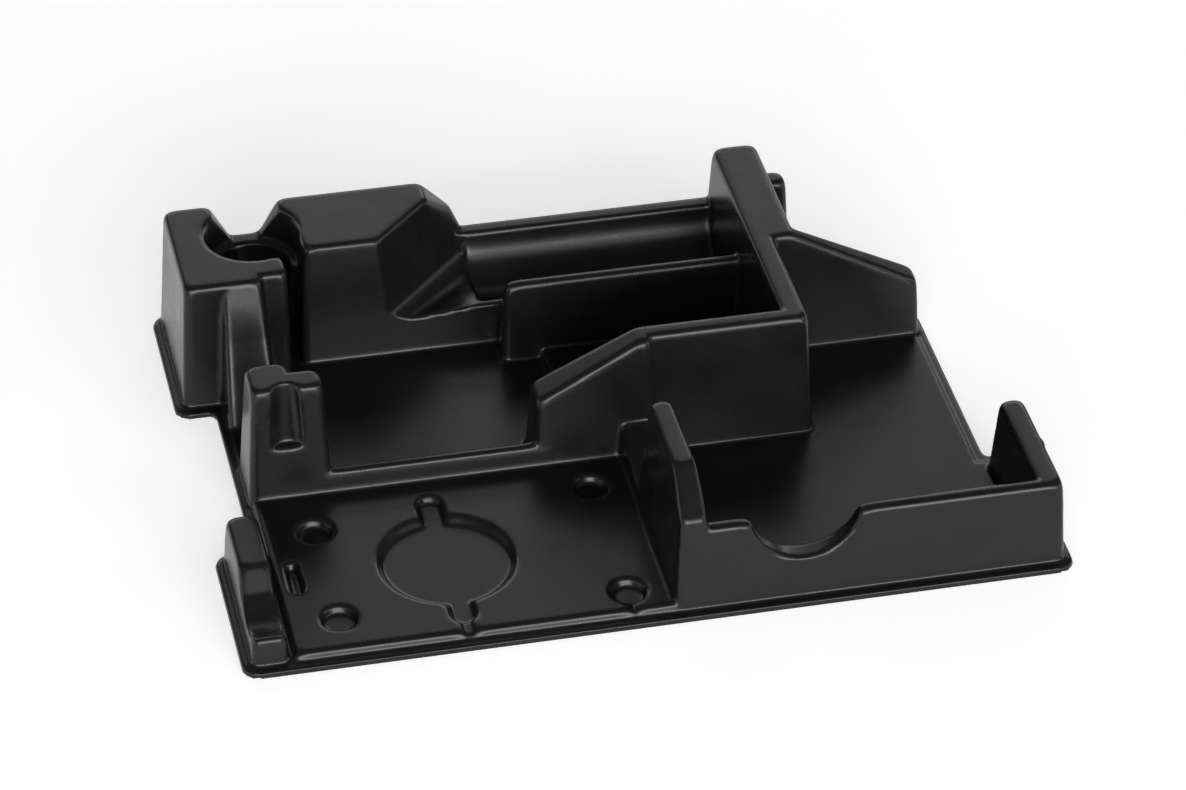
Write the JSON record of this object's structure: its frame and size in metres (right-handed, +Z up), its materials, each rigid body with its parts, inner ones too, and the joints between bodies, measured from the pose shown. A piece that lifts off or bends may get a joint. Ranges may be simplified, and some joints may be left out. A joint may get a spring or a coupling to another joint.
{
  "type": "tool case insert",
  "caption": "Black vacuum-formed tray that lines a tool case: walled bays, a shallow parts tray, a round well and a half-round cradle.",
  "frame": {"origin": "centre of the footprint, on the table that the rim stands on", "axes": "+X along the front edge to the right, +Y to the back, +Z up"},
  "size_m": [0.376, 0.27, 0.066],
  "materials": {
    "insert": "satin"
  },
  "bodies": {
    "root": {"insert": "insert"}
  },
  "joints": []
}
